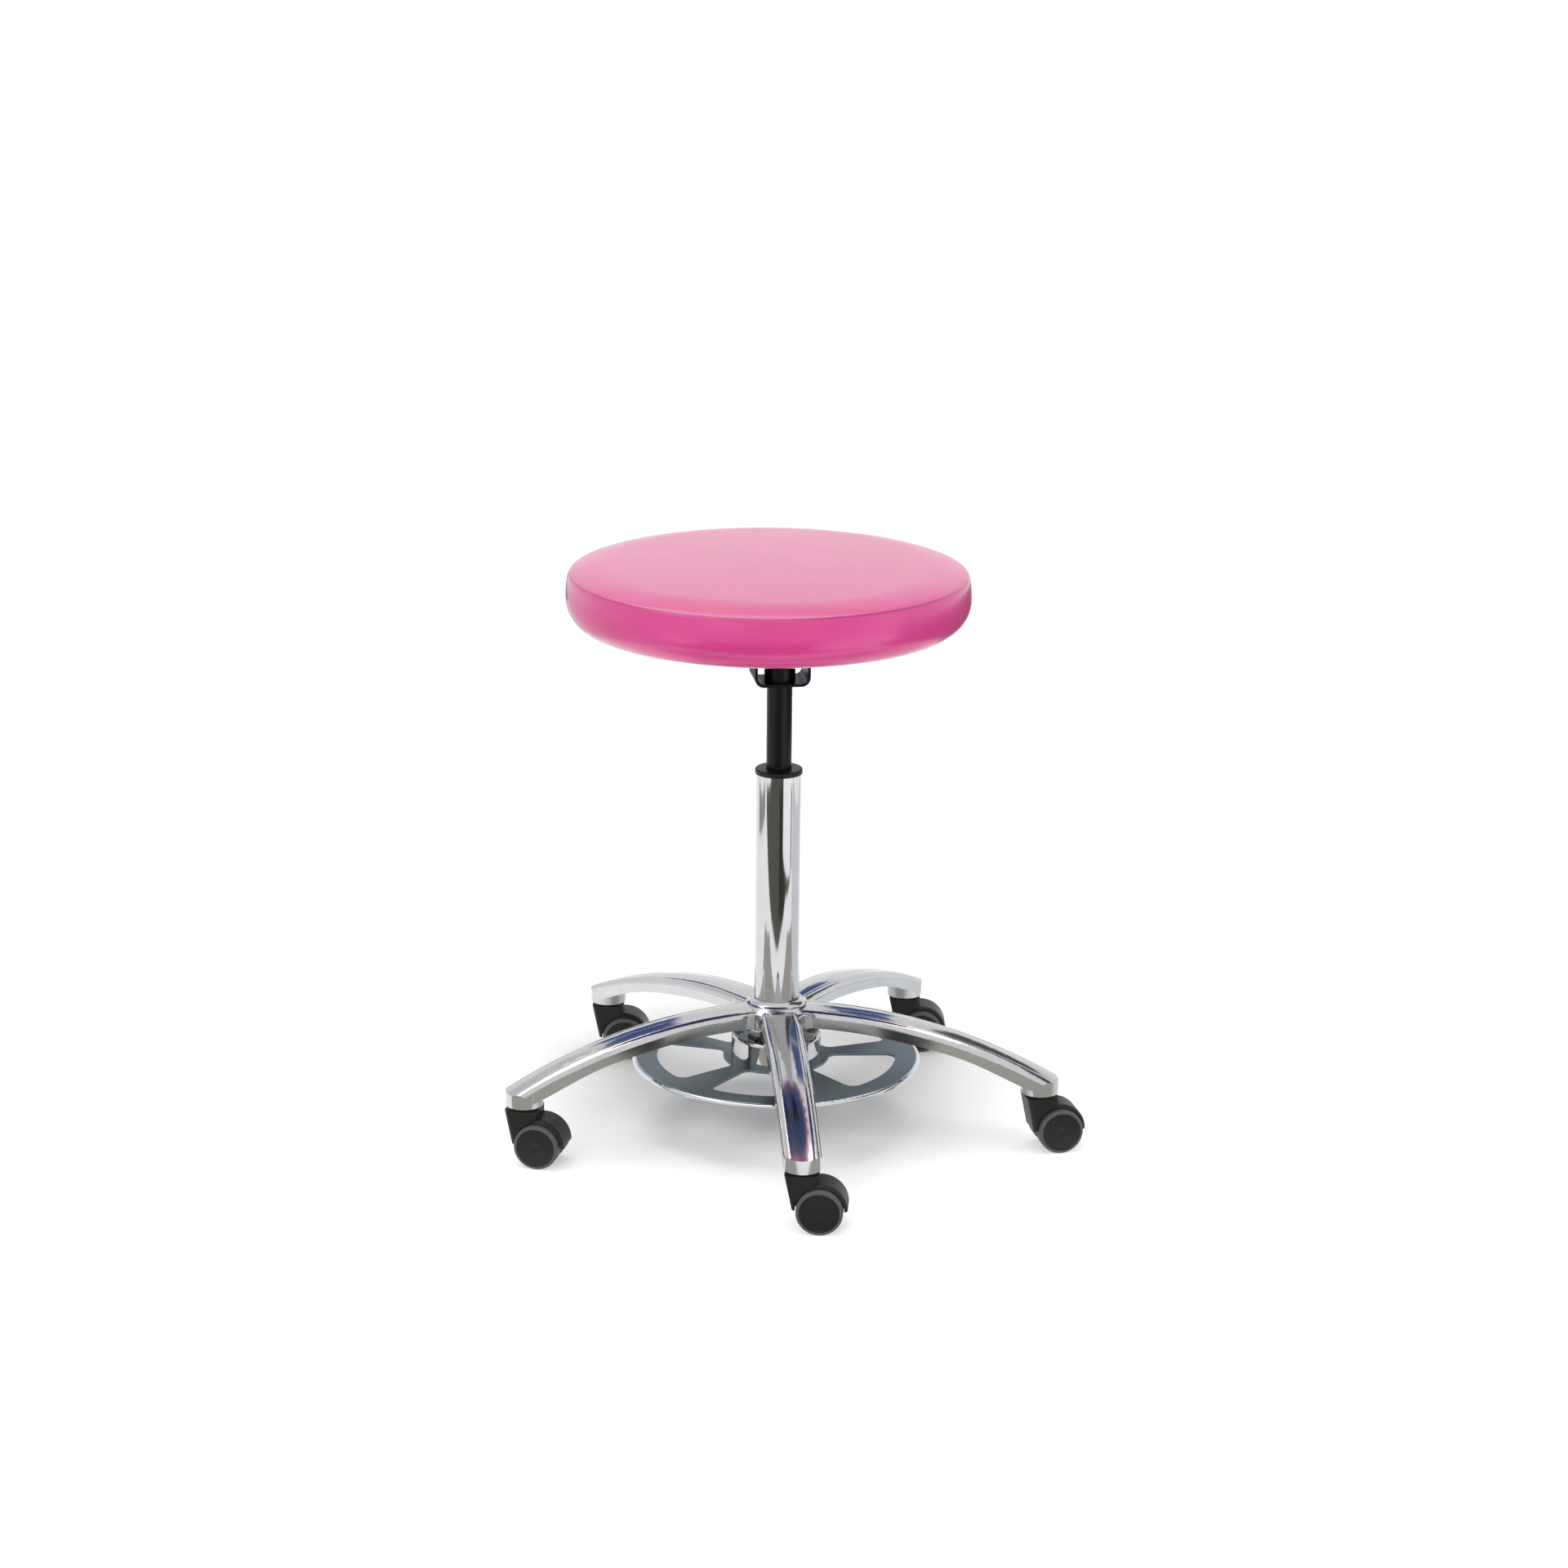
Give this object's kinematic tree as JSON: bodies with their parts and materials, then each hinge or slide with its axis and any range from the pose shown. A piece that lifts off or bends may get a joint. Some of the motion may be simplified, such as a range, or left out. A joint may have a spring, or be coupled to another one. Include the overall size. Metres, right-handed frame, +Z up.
{
  "type": "operator stool",
  "caption": "Round upholstered swivel stool on a gas spring and chromed column, with a star base on twin-wheel castors and a tilting foot disc that releases the height.",
  "frame": {"origin": "on the floor, under the column's axis", "axes": "+Z up along the column; -Y along the front leg, towards the picture's viewer"},
  "size_m": [0.6409, 0.5974, 0.6491],
  "materials": {
    "vinyl": "satin",
    "foam": "matte",
    "lining": "matte",
    "plywood": "matte",
    "black_steel": "satin",
    "bright_steel": "satin",
    "polished_alloy": "polished",
    "chrome": "polished",
    "black_plastic": "satin",
    "grey_tyre": "matte"
  },
  "bodies": {
    "base": {"star_base": "polished_alloy", "column_tube": "chrome", "column_plug": "bright_steel", "guide_bush": "black_plastic", "lower_race": "bright_steel", "bearing_balls": "bright_steel", "tilt_carrier": "bright_steel", "carrier_screws": "bright_steel", "castor_stems": "bright_steel", "grip_rings": "bright_steel"},
    "rod": {"piston_rod": "chrome", "piston": "bright_steel", "piston_seal": "grey_tyre", "upper_race": "bright_steel", "rod_clip": "bright_steel"},
    "pin": {"release_pin": "bright_steel"},
    "seat": {"gas_cylinder": "black_steel", "rod_guide": "black_plastic", "bracket_socket": "black_steel", "seat_bracket": "black_steel", "bracket_bolts": "bright_steel", "tee_nuts": "bright_steel", "seat_board": "plywood", "seat_foam": "foam", "seat_cover": "vinyl", "seat_lining": "lining"},
    "pedal": {"foot_disc": "chrome", "disc_cup": "chrome", "disc_screws": "bright_steel", "release_stud": "bright_steel"},
    "castor_1": {"castor_1_hood": "black_plastic", "castor_1_axle": "bright_steel"},
    "wheel_1_left": {"castor_1_wheel_left": "black_plastic", "castor_1_tyre_left": "grey_tyre"},
    "wheel_1_right": {"castor_1_wheel_right": "black_plastic", "castor_1_tyre_right": "grey_tyre"},
    "castor_2": {"castor_2_hood": "black_plastic", "castor_2_axle": "bright_steel"},
    "wheel_2_left": {"castor_2_wheel_left": "black_plastic", "castor_2_tyre_left": "grey_tyre"},
    "wheel_2_right": {"castor_2_wheel_right": "black_plastic", "castor_2_tyre_right": "grey_tyre"},
    "castor_3": {"castor_3_hood": "black_plastic", "castor_3_axle": "bright_steel"},
    "wheel_3_left": {"castor_3_wheel_left": "black_plastic", "castor_3_tyre_left": "grey_tyre"},
    "wheel_3_right": {"castor_3_wheel_right": "black_plastic", "castor_3_tyre_right": "grey_tyre"},
    "castor_4": {"castor_4_hood": "black_plastic", "castor_4_axle": "bright_steel"},
    "wheel_4_left": {"castor_4_wheel_left": "black_plastic", "castor_4_tyre_left": "grey_tyre"},
    "wheel_4_right": {"castor_4_wheel_right": "black_plastic", "castor_4_tyre_right": "grey_tyre"},
    "castor_5": {"castor_5_hood": "black_plastic", "castor_5_axle": "bright_steel"},
    "wheel_5_left": {"castor_5_wheel_left": "black_plastic", "castor_5_tyre_left": "grey_tyre"},
    "wheel_5_right": {"castor_5_wheel_right": "black_plastic", "castor_5_tyre_right": "grey_tyre"}
  },
  "joints": [
    {"name": "seat_swivel", "type": "hinge", "parent": "base", "child": "rod", "pos_m": [0, 0, 0.14], "axis": [0, 0, 1], "continuous": true},
    {"name": "seat_lift", "type": "slide", "parent": "rod", "child": "seat", "axis": [0, 0, 1], "range_m": [-0.08, 0.06]},
    {"name": "pedal_tilt", "type": "hinge", "parent": "base", "child": "pedal", "pos_m": [0.02469, -0.03398, 0.106], "axis": [0.809, 0.5878, 0], "range_deg": [0, 3]},
    {"name": "pin_lift", "type": "slide", "parent": "rod", "child": "pin", "axis": [0, 0, 1], "range_m": [0, 0.0023]},
    {"name": "castor_1_swivel", "type": "hinge", "parent": "base", "child": "castor_1", "pos_m": [0, -0.299, 0.05], "axis": [0, 0, 1], "continuous": true},
    {"name": "wheel_1_left_spin", "type": "hinge", "parent": "castor_1", "child": "wheel_1_left", "pos_m": [0.01926, -0.30205, 0.025], "axis": [0.1564, 0.9877, 0], "continuous": true},
    {"name": "wheel_1_right_spin", "type": "hinge", "parent": "castor_1", "child": "wheel_1_right", "pos_m": [0.01926, -0.30205, 0.025], "axis": [0.1564, 0.9877, 0], "continuous": true},
    {"name": "castor_2_swivel", "type": "hinge", "parent": "base", "child": "castor_2", "pos_m": [0.28437, -0.0924, 0.05], "axis": [0, 0, 1], "continuous": true},
    {"name": "wheel_2_left_spin", "type": "hinge", "parent": "castor_2", "child": "wheel_2_left", "pos_m": [0.30372, -0.09002, 0.025], "axis": [-0.1219, 0.9925, 0], "continuous": true},
    {"name": "wheel_2_right_spin", "type": "hinge", "parent": "castor_2", "child": "wheel_2_right", "pos_m": [0.30372, -0.09002, 0.025], "axis": [-0.1219, 0.9925, 0], "continuous": true},
    {"name": "castor_3_swivel", "type": "hinge", "parent": "base", "child": "castor_3", "pos_m": [0.17575, 0.2419, 0.05], "axis": [0, 0, 1], "continuous": true},
    {"name": "wheel_3_left_spin", "type": "hinge", "parent": "castor_3", "child": "wheel_3_left", "pos_m": [0.19517, 0.2402, 0.025], "axis": [0.0872, 0.9962, 0], "continuous": true},
    {"name": "wheel_3_right_spin", "type": "hinge", "parent": "castor_3", "child": "wheel_3_right", "pos_m": [0.19517, 0.2402, 0.025], "axis": [0.0872, 0.9962, 0], "continuous": true},
    {"name": "castor_4_swivel", "type": "hinge", "parent": "base", "child": "castor_4", "pos_m": [-0.17575, 0.2419, 0.05], "axis": [0, 0, 1], "continuous": true},
    {"name": "wheel_4_left_spin", "type": "hinge", "parent": "castor_4", "child": "wheel_4_left", "pos_m": [-0.15635, 0.23986, 0.025], "axis": [0.1045, 0.9945, 0], "continuous": true},
    {"name": "wheel_4_right_spin", "type": "hinge", "parent": "castor_4", "child": "wheel_4_right", "pos_m": [-0.15635, 0.23986, 0.025], "axis": [0.1045, 0.9945, 0], "continuous": true},
    {"name": "castor_5_swivel", "type": "hinge", "parent": "base", "child": "castor_5", "pos_m": [-0.28437, -0.0924, 0.05], "axis": [0, 0, 1], "continuous": true},
    {"name": "wheel_5_left_spin", "type": "hinge", "parent": "castor_5", "child": "wheel_5_left", "pos_m": [-0.26593, -0.09874, 0.025], "axis": [0.3256, 0.9455, 0], "continuous": true},
    {"name": "wheel_5_right_spin", "type": "hinge", "parent": "castor_5", "child": "wheel_5_right", "pos_m": [-0.26593, -0.09874, 0.025], "axis": [0.3256, 0.9455, 0], "continuous": true}
  ],
  "couplings": [
    {"joint": "pin_lift", "follows": "pedal_tilt", "m_per_rad": 0.042}
  ]
}
